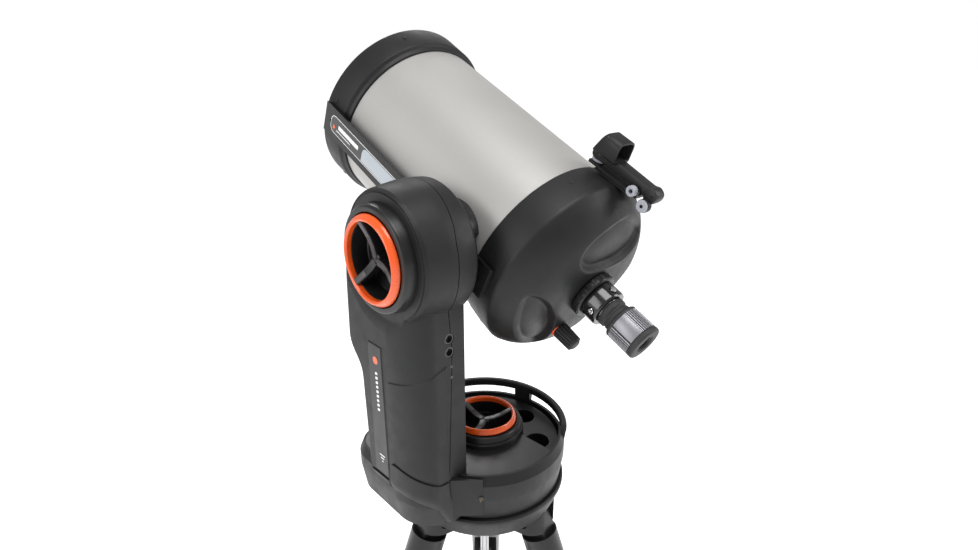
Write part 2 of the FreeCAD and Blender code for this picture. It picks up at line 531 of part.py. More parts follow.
def legs():
    floor = box(-900, 900, -900, 900, -RING_HEIGHT - 200, -RING_HEIGHT)
    length = (RING_HEIGHT + LEG_PIVOT_Z) / math.cos(math.radians(LEG_SPLAY))
    for number, angle in enumerate(LEG_ANGLES, 1):
        place = leg_place(angle)
        head = softened(box(-17, 17, -15, 15, -40, 17), 16.5, lambda e: abs(e.BoundBox.YLength - 30) < 0.1
                        and e.BoundBox.ZMin > 16)
        head = head.fuse(rod(LEG_R, (0, 0, -30), (0, 0, -LEG_SPLIT)))
        head = head.cut(rod(LEG_R - 1.6, (0, 0, -42), (0, 0, -LEG_SPLIT - 1)))
        head = head.cut(rod(5.05, (0, -20, 0), (0, 20, 0))).removeSplitter()
        collar = pipe(30, LEG_R + 0.01, (0, 0, -LEG_SPLIT + 26), (0, 0, -LEG_SPLIT)).fuse(
            pipe(30, 22.75, (0, 0, -LEG_SPLIT - 0.02), (0, 0, -LEG_SPLIT - 14)))
        boss = rod(9, (20, 0, -LEG_SPLIT + 8), (38, 0, -LEG_SPLIT + 8)).cut(
            rod(LEG_R + 0.01, (0, 0, -LEG_SPLIT + 30), (0, 0, -LEG_SPLIT - 20)))
        collar = collar.fuse(boss).removeSplitter()
        bore = rod(4.05, (20, 0, -LEG_SPLIT + 8), (40, 0, -LEG_SPLIT + 8))
        upper = Part.makeCompound([head.cut(bore), collar.cut(bore)])
        lower = pipe(22.4, 20.8, (0, 0, -170), (0, 0, -length + 44))
        foot = turned([(0, -length - 20), (19, -length - 20), (24.5, -length + 50), (22.41, -length + 62),
                       (22.41, -length + 44), (0, -length + 44)])
        knob = rod(4.0, (22.9, 0, -LEG_SPLIT + 8), (46, 0, -LEG_SPLIT + 8)).fuse(
            rod(15, (39, 0, -LEG_SPLIT + 8), (55, 0, -LEG_SPLIT + 8)))
        for x, y, turn in circle_of(5, 17):
            knob = knob.cut(rod(4, (38, x, -LEG_SPLIT + 8 + y), (56, x, -LEG_SPLIT + 8 + y)))
        for name, shape in (("leg_tube", upper), ("leg_inner", lower), ("leg_foot", foot), ("leg_knob", knob)):
            shape.Placement = place
            nodes[f"{name}_{number}"] = shape
        nodes[f"leg_foot_{number}"] = nodes[f"leg_foot_{number}"].cut(floor)


def spreader_parts():
    body = rod(24, (0, 0, SPREADER_Z), (0, 0, SPREADER_Z - 22))
    for angle in LEG_ANGLES:
        arm = box(10, 118.5, -19, 19, SPREADER_Z - 9, SPREADER_Z)
        arm = arm.cut(prism([(40, -10), (96, -10), (96, 10), (40, 10)], SPREADER_Z - 10, SPREADER_Z + 1))
        arm.rotate(Vec(0, 0, 0), Z_AXIS, angle)
        body = body.fuse(arm)
    body = body.cut(rod(6.3, (0, 0, -1000), (0, 0, 0)))
    nodes["spreader"] = body.removeSplitter()
    knob = rod(26, (0, 0, SPREADER_Z - 22.3), (0, 0, SPREADER_Z - 40)).cut(rod(6.3, (0, 0, -1000), (0, 0, 0)))
    for x, y, angle in circle_of(6, 29):
        knob = knob.cut(rod(7, (x, y, SPREADER_Z - 60), (x, y, SPREADER_Z)))
    nodes["spreader_knob"] = knob


optical_tube()
visual_back()
finder()
altitude_parts()
knobs()
arm_parts()
base_parts()
tripod_head()
legs()
spreader_parts()

whole = FreeCAD.BoundBox()
for shape in nodes.values():
    whole.add(shape.optimalBoundingBox(True, False))
shift = Vec(-whole.Center.x, -whole.Center.y, -whole.ZMin)
print("azimuth axis and ring height in the part's frame:", [round(c, 3) for c in shift])
for name, shape in nodes.items():
    shape.translate(shift)
    shape.exportStep(f"parts/{name}.step")
    print(name, len(shape.Solids), "solids", round(shape.Volume / 1000, 1), "cm3", shape.isValid())
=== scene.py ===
"""The looks of a Schmidt-Cassegrain telescope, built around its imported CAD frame.

Shapes are drawn in millimetres in one of three local frames (mount, head, tube). A matrix worked out from the
frame's joints places them, so every piece lands where the CAD has it.
"""
import json
import math
import bmesh
import bpy
from mathutils import Matrix, Vector

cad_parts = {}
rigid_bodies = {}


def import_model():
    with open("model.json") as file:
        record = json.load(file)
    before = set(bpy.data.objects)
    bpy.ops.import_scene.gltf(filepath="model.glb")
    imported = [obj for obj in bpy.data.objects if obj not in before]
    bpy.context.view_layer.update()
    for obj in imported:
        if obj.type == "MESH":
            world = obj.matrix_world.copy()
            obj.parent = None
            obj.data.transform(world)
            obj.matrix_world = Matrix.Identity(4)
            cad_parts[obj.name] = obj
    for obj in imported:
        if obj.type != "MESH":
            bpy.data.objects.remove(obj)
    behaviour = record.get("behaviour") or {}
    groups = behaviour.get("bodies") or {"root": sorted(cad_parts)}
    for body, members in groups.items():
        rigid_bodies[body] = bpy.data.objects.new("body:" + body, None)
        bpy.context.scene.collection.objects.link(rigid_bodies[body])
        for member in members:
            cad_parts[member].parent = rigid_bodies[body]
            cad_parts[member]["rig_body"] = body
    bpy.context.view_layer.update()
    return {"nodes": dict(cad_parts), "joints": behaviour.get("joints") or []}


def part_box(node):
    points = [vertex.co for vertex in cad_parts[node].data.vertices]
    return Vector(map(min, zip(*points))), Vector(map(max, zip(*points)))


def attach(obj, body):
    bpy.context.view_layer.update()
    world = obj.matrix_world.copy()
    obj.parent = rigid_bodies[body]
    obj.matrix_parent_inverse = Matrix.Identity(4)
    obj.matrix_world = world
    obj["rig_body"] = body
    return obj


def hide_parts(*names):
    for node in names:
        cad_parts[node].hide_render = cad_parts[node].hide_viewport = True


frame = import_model()

MM = 0.001
KNOB_FACE = 164.4            # altitude knob's ring face, outwards from the altitude axis's origin
FLANGE = 143.6               # round face of the arm's head
WELL_RADIUS = 53.6           # hole in the head that takes the altitude knob
ALTITUDE_UP = 255.8          # altitude axis above the azimuth knob's ring
SEAM_HALF = 0.45             # half the width of the arm's seam
SOCKET_HEIGHTS = (149.5, 165.8)
JOINTS = {joint["name"]: joint for joint in frame["joints"]}
NODES = frame["nodes"]
AZIMUTH = Vector(JOINTS["azimuth_turn"]["pos_m"])        # azimuth axis, at the top of its knob's ring
ALTITUDE = Vector(JOINTS["altitude_tilt"]["pos_m"])
TUBE_DIR = Vector(JOINTS["tube_balance_slide"]["axis"])
TUBE_X = (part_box("tube")[0].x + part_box("tube")[1].x) / 2


def basis(origin, x, y, z):
    """Matrix from a local frame in millimetres to the row frame in metres."""
    columns = Matrix((x, y, z)).transposed().to_4x4()
    return Matrix.Translation(origin) @ columns @ Matrix.Scale(MM, 4)


X, Y, Z = Vector((1, 0, 0)), Vector((0, 1, 0)), Vector((0, 0, 1))
MOUNT = basis(AZIMUTH, X, Y, Z)
HEAD = basis(ALTITUDE, Z, Y, -X)                          # local z points out of the arm, x points up
TUBE = basis(Vector((TUBE_X, ALTITUDE.y, ALTITUDE.z)), X, TUBE_DIR.cross(X), TUBE_DIR)  # local y points down


# ---- camera, floor and light --------------------------------------------------------------------------
def studio():
    scene = bpy.context.scene
    scene.view_settings.view_transform = "Standard"
    camera = bpy.data.objects.new("camera", bpy.data.cameras.new("camera"))
    camera.location = AZIMUTH + Vector((-0.4665, -0.5118, 0.4612))
    yaw, pitch = math.radians(-42.89), math.radians(-20.69)
    camera.rotation_euler = (math.pi / 2 + pitch, 0, yaw)
    camera.data.sensor_width = 36
    camera.data.lens = 21.87
    camera.data.clip_start = 0.02
    scene.collection.objects.link(camera)
    scene.camera = camera

    world = bpy.data.worlds.new("studio")
    scene.world = world
    world.use_nodes = True
    nodes, links = world.node_tree.nodes, world.node_tree.links
    back = nodes["Background"]
    lit = nodes.new("ShaderNodeBackground")
    mix = nodes.new("ShaderNodeMixShader")
    path = nodes.new("ShaderNodeLightPath")
    back.inputs["Color"].default_value = (1, 1, 1, 1)
    back.inputs["Strength"].default_value = 0.42
    lit.inputs["Color"].default_value = (1, 1, 1, 1)
    lit.inputs["Strength"].default_value = 1.0
    links.new(path.outputs["Is Camera Ray"], mix.inputs["Fac"])
    links.new(back.outputs[0], mix.inputs[1])
    links.new(lit.outputs[0], mix.inputs[2])
    links.new(mix.outputs[0], nodes["World Output"].inputs["Surface"])

    target = AZIMUTH + Vector((0, 0, 0.2))
    soft_boxes = [("key", (-0.2, -0.6, 2.3), 1.6, 1.2, 38), ("left", (-2.2, 0.4, 0.9), 1.0, 1.8, 24),
                  ("right", (1.7, -1.6, 1.0), 0.7, 1.6, 21), ("back", (1.3, 2.2, 1.5), 1.2, 1.2, 24)]
    for name, place, width, height, watts in soft_boxes:
        lamp = bpy.data.lights.new(name, "AREA")
        lamp.shape = "RECTANGLE"
        lamp.size, lamp.size_y, lamp.energy = width, height, watts
        box = bpy.data.objects.new(name, lamp)
        box.location = target + Vector(place)
        box.rotation_euler = (-Vector(place)).to_track_quat("-Z", "Y").to_euler()
        scene.collection.objects.link(box)

    bm = bmesh.new()
    bmesh.ops.create_grid(bm, x_segments=2, y_segments=2, size=60)
    floor = add_mesh("floor", bm, Matrix.Identity(4), floor_paint())


# ---- materials ----------------------------------------------------------------------------------------
MADE = {}


def once(make):
    """Each material is made on its first use."""
    def get(*args):
        key = (make.__name__, *args)
        if key not in MADE:
            MADE[key] = make(*args)
        return MADE[key]
    return get


def surface(name, base, metallic=0.0, roughness=0.5, coat=0.0, specular=0.5):
    """A Principled material with its uniform values set; returns it with its nodes, links and shader."""
    material = bpy.data.materials.new(name)
    material.use_nodes = True
    nodes, links = material.node_tree.nodes, material.node_tree.links
    shader = nodes["Principled BSDF"]
    shader.inputs["Base Color"].default_value = (*base, 1)
    shader.inputs["Metallic"].default_value = metallic
    shader.inputs["Roughness"].default_value = roughness
    shader.inputs["Coat Weight"].default_value = coat
    shader.inputs["Coat Roughness"].default_value = 0.12
    shader.inputs["Specular IOR Level"].default_value = specular
    return material, nodes, links, shader


def noise(nodes, links, scale, detail=3.0, stretch=(1, 1, 1)):
    place = nodes.new("ShaderNodeTexCoord")
    mapping = nodes.new("ShaderNodeMapping")
    texture = nodes.new("ShaderNodeTexNoise")
    mapping.inputs["Scale"].default_value = stretch
    texture.inputs["Scale"].default_value = scale
    texture.inputs["Detail"].default_value = detail
    links.new(place.outputs["Object"], mapping.inputs["Vector"])
    links.new(mapping.outputs["Vector"], texture.inputs["Vector"])
    return texture.outputs["Fac"]


def ramp(nodes, links, source, low, high, start=0.3, stop=0.7):
    """Maps a noise to a range of colours or, with numbers, of values."""
    if isinstance(low, tuple):
        node = nodes.new("ShaderNodeValToRGB")
        node.color_ramp.elements[0].position = start
        node.color_ramp.elements[1].position = stop
        node.color_ramp.elements[0].color = (*low, 1)
        node.color_ramp.elements[1].color = (*high, 1)
        links.new(source, node.inputs["Fac"])
        return node.outputs["Color"]
    node = nodes.new("ShaderNodeMapRange")
    for socket, value in (("From Min", start), ("From Max", stop), ("To Min", low), ("To Max", high)):
        node.inputs[socket].default_value = value
    links.new(source, node.inputs["Value"])
    return node.outputs["Result"]


def bumped(nodes, links, shader, source, strength, distance):
    bump = nodes.new("ShaderNodeBump")
    bump.inputs["Strength"].default_value = strength
    bump.inputs["Distance"].default_value = distance
    links.new(source, bump.inputs["Height"])
    links.new(bump.outputs["Normal"], shader.inputs["Normal"])


def textured(name, dark, light, rough, grain=1400.0, strength=0.25, metallic=0.0, coat=0.0, specular=0.5):
    """Moulded or painted finish: a slight colour drift, uneven gloss and a fine grain."""
    material, nodes, links, shader = surface(name, dark, metallic, rough, coat, specular)
    drift = noise(nodes, links, 9.0)
    links.new(ramp(nodes, links, drift, dark, light), shader.inputs["Base Color"])
    links.new(ramp(nodes, links, noise(nodes, links, 60.0), rough - 0.04, rough + 0.06),
              shader.inputs["Roughness"])
    bumped(nodes, links, shader, noise(nodes, links, grain, 2.0), strength, 0.00012)
    return material


@once
def floor_paint():
    material, nodes, links, shader = surface("floor_paint", (0.9, 0.9, 0.9), 0.0, 0.9)
    links.new(ramp(nodes, links, noise(nodes, links, 4.0), (0.9, 0.9, 0.9), (0.93, 0.93, 0.93)),
              shader.inputs["Base Color"])
    shader.inputs["Emission Color"].default_value = (1, 1, 1, 1)
    shader.inputs["Emission Strength"].default_value = 0.72
    return material


@once
def charcoal():
    return textured("charcoal_plastic", (0.009, 0.009, 0.0098), (0.0115, 0.0115, 0.0123), 0.46,
                    specular=0.33)


@once
def smooth_charcoal():
    return textured("smooth_charcoal", (0.008, 0.008, 0.0088), (0.0105, 0.0105, 0.0115), 0.32, 900.0, 0.08,
                    specular=0.42)


@once
def black_anodised():
    return textured("black_anodised", (0.014, 0.014, 0.015), (0.02, 0.02, 0.022), 0.36, 2200.0, 0.2, 0.35)


@once
def black_gloss():
    return textured("black_gloss", (0.008, 0.008, 0.009), (0.012, 0.012, 0.013), 0.16, 500.0, 0.03, 0.0, 0.4)


@once
def rubber():
    return textured("black_rubber", (0.018, 0.018, 0.018), (0.026, 0.026, 0.026), 0.62, 1800.0, 0.4)


@once
def silver_paint():
    material, nodes, links, shader = surface("silver_paint", (0.42, 0.41, 0.395), 0.35, 0.42, 0.1)
    flakes = noise(nodes, links, 2600.0, 1.0)
    links.new(ramp(nodes, links, flakes, (0.39, 0.38, 0.365), (0.46, 0.45, 0.435)),
              shader.inputs["Base Color"])
    links.new(ramp(nodes, links, noise(nodes, links, 25.0), 0.46, 0.53), shader.inputs["Roughness"])
    bumped(nodes, links, shader, noise(nodes, links, 1800.0, 2.0), 0.06, 0.0001)
    return material


@once
def orange():
    return textured("orange_plastic", (0.8, 0.088, 0.008), (0.86, 0.108, 0.012), 0.26, 700.0, 0.05, 0.0, 0.35)


@once
def chrome():
    return textured("chrome", (0.72, 0.72, 0.74), (0.8, 0.8, 0.82), 0.14, 900.0, 0.03, 1.0)


@once
def steel():
    material, nodes, links, shader = surface("brushed_steel", (0.5, 0.5, 0.51), 1.0, 0.34)
    brush = noise(nodes, links, 900.0, 3.0, (1, 1, 0.03))
    links.new(ramp(nodes, links, brush, (0.42, 0.42, 0.43), (0.58, 0.58, 0.6)), shader.inputs["Base Color"])
    links.new(ramp(nodes, links, brush, 0.26, 0.42), shader.inputs["Roughness"])
    return material


@once
def brass():
    return textured("brass", (0.66, 0.45, 0.16), (0.78, 0.56, 0.24), 0.25, 900.0, 0.08, 1.0)


@once
def light_grey():
    return textured("light_grey_plastic", (0.3, 0.31, 0.35), (0.38, 0.39, 0.43), 0.42, 1200.0, 0.15)


# Lighter grey for the strips along the knob spokes' top edges: a painted highlight where light catches the
# spokes.
@once
def painted_highlight_grey():
    return textured("painted_highlight_grey", (0.045, 0.045, 0.048), (0.06, 0.06, 0.064), 0.4, 900.0, 0.1)


@once
def glass():
    material, nodes, links, shader = surface("coated_glass", (0.78, 0.86, 0.83), 0.0, 0.04, 0.3)
    shader.inputs["Transmission Weight"].default_value = 0.92
    shader.inputs["IOR"].default_value = 1.3
    links.new(ramp(nodes, links, noise(nodes, links, 14.0), 0.03, 0.06), shader.inputs["Roughness"])
    return material


@once
def mirror():
    return textured("mirror_coating", (0.84, 0.86, 0.88), (0.88, 0.9, 0.92), 0.05, 40.0, 0.01, 1.0)


@once
def cell_wrap():
    return textured("battery_wrap", (0.02, 0.05, 0.16), (0.03, 0.07, 0.2), 0.38, 800.0, 0.1)


@once
def white_print():
    return textured("white_print", (0.78, 0.78, 0.78), (0.84, 0.84, 0.84), 0.4, 900.0, 0.05)


@once
def label_silver():
    return textured("label_silver", (0.42, 0.46, 0.5), (0.5, 0.54, 0.58), 0.36, 700.0, 0.04, 0.35)


@once
def bright_metal():
    return textured("bright_metal", (0.24, 0.24, 0.26), (0.31, 0.31, 0.33), 0.42, 1200.0, 0.08, 0.7)


DONE = set()


def repaint(node, material):
    """Gives a CAD node that keeps its shape its material."""
    slots = NODES[node].data.materials
    slots.clear()
    slots.append(material)
    DONE.add(node)


# ---- shape tools --------------------------------------------------------------------------------------
def mark_sharp(mesh, degrees=32):
    """Smooth shading, with the edges that turn by more than this kept sharp."""
    bm = bmesh.new()
    bm.from_mesh(mesh)
    for edge in bm.edges:
        edge.smooth = len(edge.link_faces) == 2 and edge.calc_face_angle(0) < math.radians(degrees)
    for face in bm.faces:
        face.smooth = True
    bm.to_mesh(mesh)
    bm.free()


def add_mesh(name, bm, matrix, material, degrees=32):
    """Turns a bmesh in a local frame into a piece in the row frame."""
    bmesh.ops.transform(bm, matrix=matrix, verts=bm.verts)
    bmesh.ops.recalc_face_normals(bm, faces=bm.faces)
    mesh = bpy.data.meshes.new(name)
    bm.to_mesh(mesh)
    bm.free()
    mark_sharp(mesh, degrees)
    mesh.materials.append(material)
    piece = bpy.data.objects.new(name, mesh)
    bpy.context.scene.collection.objects.link(piece)
    return piece


def baked(piece, degrees=32):
    """Applies the piece's modifiers to its mesh."""
    bpy.context.view_layer.update()
    graph = bpy.context.evaluated_depsgraph_get()
    mesh = bpy.data.meshes.new_from_object(piece.evaluated_get(graph))
    piece.modifiers.clear()
    piece.data = mesh
    mark_sharp(mesh, degrees)
    return piece


def bevelled(piece, width, segments=2, limit=32):
    """Rounds the piece's hard edges; width in millimetres."""
    bevel = piece.modifiers.new("bevel", "BEVEL")
    bevel.width = width * MM
    bevel.segments = segments
    bevel.limit_method = "ANGLE"
    bevel.angle_limit = math.radians(limit)
    bevel.use_clamp_overlap = True
    return baked(piece)


def weighed(piece, degrees=32):
    """Shades large flat faces flat, with the rounded edges blending into them."""
    mark_sharp(piece.data, degrees)
    weigh = piece.modifiers.new("weigh", "WEIGHTED_NORMAL")
    weigh.keep_sharp = True
    return baked(piece, degrees)


def combined(piece, tool, operation="DIFFERENCE"):
    """Cuts the tool from the piece, or joins it to the piece, and drops the tool."""
    boolean = piece.modifiers.new("boolean", "BOOLEAN")
    boolean.operation = operation
    boolean.solver = "EXACT"
    boolean.object = tool
    baked(piece)
    bpy.data.objects.remove(tool)
    return piece


def rounded(outline, radius, closed=True, steps=4):
    """The outline with its corners eased; a point may carry its own radius as a third value."""
    eased = []
    for k, point in enumerate(outline):
        here = Vector(point[:2])
        size = point[2] if len(point) > 2 else radius
        if size == 0 or (not closed and k in (0, len(outline) - 1)):
            eased.append(tuple(here))
            continue
        back = Vector(outline[k - 1][:2]) - here
        ahead = Vector(outline[(k + 1) % len(outline)][:2]) - here
        start = here + back.normalized() * min(size, 0.45 * back.length)
        end = here + ahead.normalized() * min(size, 0.45 * ahead.length)
        for step in range(steps + 1):
            t = step / steps
            eased.append(tuple(start * (1 - t) ** 2 + here * 2 * t * (1 - t) + end * t * t))
    return eased


def skinned(bm, rings, closed=True):
    """Faces between neighbouring rings of vertices; a ring of one vertex is a pole."""
    count = max(len(ring) for ring in rings)
    for low, high in zip(rings, rings[1:]):
        for k in range(count if closed else count - 1):
            ahead = (k + 1) % count
            corners = (low[k % len(low)], low[ahead % len(low)], high[ahead % len(high)], high[k % len(high)])
            bm.faces.new(dict.fromkeys(corners))


def lathe(name, profile, matrix, material, steps=128, swell=None, span=None):
    """Turned piece about local z from (radius, height) points.

    swell(radius, height, angle) may change the radius; span gives start and end angles of an open piece.
    """
    bm = bmesh.new()
    start, end = (0, 2 * math.pi) if span is None else (math.radians(a) for a in span)
    rings = []
    for radius, height in profile:
        if radius < 1e-6:
            rings.append([bm.verts.new((0, 0, height))])
            continue
        ring = []
        for k in range(steps if span is None else steps + 1):
            angle = start + (end - start) * k / steps
            r = swell(radius, height, angle) if swell else radius
            ring.append(bm.verts.new((r * math.cos(angle), r * math.sin(angle), height)))
        rings.append(ring)
    if span is not None:
        rings.append(rings[0])
        bm.faces.new([ring[0] for ring in rings[:-1]])
        bm.faces.new([ring[-1] for ring in rings[:-1]])
    skinned(bm, rings, closed=span is None)
    return add_mesh(name, bm, matrix, material)


def prism(name, outline, low, high, matrix, material, width=0.0):
    """Outline in local x, y pulled along local z, with its edges rounded by width."""
    bm = bmesh.new()
    rings = [[bm.verts.new((x, y, z)) for x, y in outline] for z in (low, high)]
    skinned(bm, rings)
    bm.faces.new(rings[0])
    bm.faces.new(rings[1])
    piece = add_mesh(name, bm, matrix, material)
    return bevelled(piece, width) if width else piece


def ribs(name, angles, radius, width, height, low, high, matrix, material, taper=1.0):
    """Bars that stand around a turned piece at the given angles, parallel to its axis."""
    bm = bmesh.new()
    for degrees in angles:
        turn = Matrix.Rotation(math.radians(degrees), 4, "Z")
        rings = []
        for z, scale in ((low, 1.0), (high, taper)):
            r = radius * scale
            outline = ((r - 2, -width / 2), (r + height * 0.6, -width / 2), (r + height, -width * 0.28),
                       (r + height, width * 0.28), (r + height * 0.6, width / 2), (r - 2, width / 2))
            rings.append([bm.verts.new(turn @ Vector((x, y, z))) for x, y in outline])
        skinned(bm, rings)
        bm.faces.new(rings[0])
        bm.faces.new(rings[1])
    return add_mesh(name, bm, matrix, material, 25)


def merged(piece, *others):
    """Joins finished pieces into one, keeping their materials."""
    bm = bmesh.new()
    materials = []
    for part in (piece, *others):
        first = len(bm.faces)
        bm.from_mesh(part.data)
        bm.faces.ensure_lookup_table()
        material = part.data.materials[0]
        if material not in materials:
            materials.append(material)
        for face in bm.faces[first:]:
            face.material_index = materials.index(material)
    piece.data.materials.clear()
    for material in materials:
        piece.data.materials.append(material)
    bm.to_mesh(piece.data)
    bm.free()
    for other in others:
        bpy.data.objects.remove(other)
    return piece


def refined(node, material, width=0.7, degrees=32):
    """A cleaned copy of a CAD node with rounded edges, which stands for it."""
    bm = bmesh.new()
    bm.from_mesh(NODES[node].data)
    bmesh.ops.remove_doubles(bm, verts=bm.verts, dist=2e-6)
    bmesh.ops.dissolve_limit(bm, angle_limit=math.radians(0.6), verts=bm.verts, edges=bm.edges)
    piece = add_mesh(node + "_finish", bm, Matrix.Identity(4), material)
    bevelled(piece, width)
    weighed(piece, degrees)
    return settle(piece, node)


def settle(piece, *stands_for):
    """The piece rides with the first node's body and stands for the nodes."""
    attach(piece, NODES[stands_for[0]]["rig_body"])
    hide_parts(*stands_for)
    DONE.update(stands_for)
    return piece


def trim(piece, node):
    """An extra piece that rides with a node's body."""
    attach(piece, NODES[node]["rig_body"])
    return piece


def ring_of(count, start=0.0):
    return [start + 360 * k / count for k in range(count)]


def between(points, x):
    """Value at x of a line through (x, value) points."""
    for (x0, y0), (x1, y1) in zip(points, points[1:]):
        if x <= x1:
            return y0 + (y1 - y0) * max(0.0, x - x0) / (x1 - x0)
    return points[-1][1]


# ---- optical tube -------------------------------------------------------------------------------------
SCOOPS = [(14, 66, 64, 30, 8), (-68, -45, 68, 28, -63), (66, -45, 68, 28, 63)]   # u, v, half sizes, degrees


def scoop_depth(u, v):
    """Depth of the hollows in the rear cell's back: steep at the hub side, running out at the rim."""
    depth = 0.0
    for cu, cv, half_length, half_width, degrees in SCOOPS:
        c, s = math.cos(math.radians(degrees)), math.sin(math.radians(degrees))
        along = ((u - cu) * c + (v - cv) * s) / half_length
        across = ((v - cv) * c - (u - cu) * s) / half_width
        outward = across if cv * c - cu * s > 0 else -across
        inside = min(1.0, max(0.0, 1 - math.hypot(along, across)) / 0.16)
        wall = inside * inside * (3 - 2 * inside)
        depth = max(depth, 9.5 * wall * (0.62 - 0.38 * outward))
    fade = min(1.0, max(0.0, (101 - math.hypot(u, v)) / 9))
    return depth * fade


def rear_cell():
    profile = rounded([(20, -134), (52, -134, 6), (74, -130, 10), (90, -123, 8), (103, -113, 8),
                       (112, -103, 6),
                       (119, -90, 3), (118.2, -70, 0), (115.8, -48, 1), (113.6, -47.5)], 4, closed=False)
    outline = [Vector(p) for p in profile]
    fine = []
    for a, b in zip(outline, outline[1:]):
        pieces = max(1, math.ceil((b - a).length / 1.5)) if b.x > a.x and b.y < -92 else 1
        fine += [a.lerp(b, k / pieces) for k in range(pieces)]
    fine.append(outline[-1])
    bm = bmesh.new()
    rings = []
    for radius, t in fine:
        ring = []
        for k in range(300):
            angle = 2 * math.pi * k / 300
            u, v = radius * math.cos(angle), radius * math.sin(angle)
            ring.append(bm.verts.new((u, -v, t + scoop_depth(u, v))))
        rings.append(ring)
    skinned(bm, rings)
    cell = add_mesh("rear_cell_casting", bm, TUBE, charcoal(), 40)
    settle(cell, "rear_cell")


def tube_parts():
    skin = lathe("tube_skin", [(114, -56), (114, 240), (112.5, 240), (112.5, -56), (114, -56)], TUBE,
                 silver_paint(),
                 192)
    settle(skin, "tube")
    profile = rounded([(113.9, 231), (116.8, 231.6), (117.6, 236.5), (121.4, 240), (122.7, 277), (120.7, 280),
                       (117, 280), (113, 277), (113, 268), (106, 268), (106, 262), (103, 262), (103, 241),
                       (113.9, 241)], 0.8, steps=2)
    cell = lathe("front_cell_casting", profile + profile[:1], TUBE, charcoal(), 192)
    settle(cell, "front_cell")
    rear_cell()
    repaint("corrector", glass())
    refined("secondary_cell", black_anodised())
    repaint("primary_mirror", mirror())
    repaint("baffle_tube", black_anodised())
    refined("cell_screws", black_anodised(), 0.25)


def dovetail():
    """Bar along the arm side with a framed label: plain lines and a silver field, no words."""
    refined("dovetail_bar", smooth_charcoal(), 1.0)
    label = basis(TUBE @ Vector((-125.8, -6, 0)), -TUBE_DIR, X.cross(-TUBE_DIR), X)
    outer = rounded([(-256, -12), (-256, 12), (20, 12), (20, -12)], 11.5, steps=8)
    inner = rounded([(-255.1, -11.1), (-255.1, 11.1), (19.1, 11.1), (19.1, -11.1)], 10.7, steps=8)
    frame_line = prism("label_frame", outer, -0.25, 0.1, label, white_print())
    field = prism("label_field", inner, -0.33, 0.1, label, black_gloss())
    silver = rounded([(-176, -10.2), (-176, 10.2, 0.1), (10, 10.2), (10, -10.2, 0.1)], 12, steps=6)
    panel = prism("label_panel", silver, -0.42, 0.1, label, label_silver())
    lines = [prism(f"label_line_{k}", [(x0, y0), (x1, y0), (x1, y1), (x0, y1)], -0.42, 0.1, label,
                   white_print())
             for k, (x0, x1, y0, y1) in enumerate(((-240, -205, 4.4, 5.6), (-236, -186, -4.2, 1.4)))]
    dot = lathe("label_dot", [(0, -0.42), (2.6, -0.42), (2.6, 0), (0, 0)],
                label @ Matrix.Translation((-247, 3.5, 0)), orange(), 32)
    for piece in (frame_line, field, panel, dot, *lines):
        trim(piece, "dovetail_bar")


# ---- back of the tube ---------------------------------------------------------------------------------
def visual_back():
    profile = rounded([(23.4, -134.2), (28.4, -134.2), (29.4, -135.4), (29.4, -142.8), (28, -144.4),
                       (23.4, -144.4)],
                      0.5, steps=2)
    ring = lathe("lock_ring", profile + profile[:1], TUBE, black_anodised(), 144)
    knurls = ribs("lock_ring_knurls", ring_of(24), 28.6, 4.2, 1.2, -143.2, -135.2, TUBE, black_anodised())
    settle(merged(ring, knurls), "visual_back_ring")
    profile = rounded([(16, -135), (23.2, -135), (23.2, -145), (24.3, -145.4), (24.3, -150), (24.3, -163),
                       (23.4, -165.5), (19.5, -165.5), (16, -165.5)], 0.6, steps=2)
    back = lathe("visual_back_body", profile + profile[:1], TUBE, black_gloss(), 96)
    for angle in (180, 270):
        side = Matrix.Rotation(math.radians(angle), 4, "Z") @ Vector((1, 0, 0))
        socket = TUBE @ Matrix.Translation((0, 0, -157)) @ side.to_track_quat("Z", "Y").to_matrix().to_4x4()
        combined(back,
                 lathe("socket_tool", [(0, 20), (4.4, 20), (4.4, 30), (0, 30)], socket, black_gloss(), 32))
        node = "visual_screw_1" if angle == 180 else "visual_screw_2"
        head = [(0, 22.0), (3.5, 22.0), (3.7, 23), (3.7, 25.4), (3.1, 26.2), (1.9, 26.2), (1.6, 24.8),
                (0, 24.8)]
        screw = lathe(node + "_head", head, socket, chrome(), 32)
        settle(screw, node)
    settle(back, "visual_back")


def eyepiece():
    barrel = lathe("eyepiece_barrel",
                   [(14.2, -137), (15.87, -137), (15.87, -167), (14.2, -167), (14.2, -137)],
                   TUBE, chrome(), 96)
    profile = rounded([(13, -166.4), (18.4, -166.4), (18.7, -167.4), (18.7, -173), (17.2, -174.4),
                       (16.9, -176.4),
                       (17.9, -177.6), (17.9, -181.6), (20.8, -182.6), (22.4, -184.4), (21.6, -187),
                       (21.6, -215.5),
                       (22.4, -217), (22.4, -220.6), (20.8, -222.4), (12, -222.4), (10, -219.6), (13, -214)],
                      0.5,
                      steps=2)
    body = lathe("eyepiece_body", profile + profile[:1], TUBE, rubber(), 96)
    panel = lathe("eyepiece_panel",
                  rounded([(20.5, -187.2), (22.3, -187.2), (22.3, -215.2), (20.5, -215.2)], 0.3,
                                            steps=2), TUBE, bright_metal(), 40, span=(192, 240))
    fluted = [a for a in ring_of(48, 3.0) if not 190 < a < 243]
    flutes = ribs("eyepiece_flutes", fluted, 21.2, 1.55, 1.1, -215.2, -187.2, TUBE, bright_metal())
    lenses = lathe("eyepiece_lens", [(0, -216.4), (6, -217.2), (10, -218.6), (10.4, -217), (0, -213)], TUBE,
                   glass(), 64)
    settle(merged(body, barrel, panel, flutes, lenses), "eyepiece")


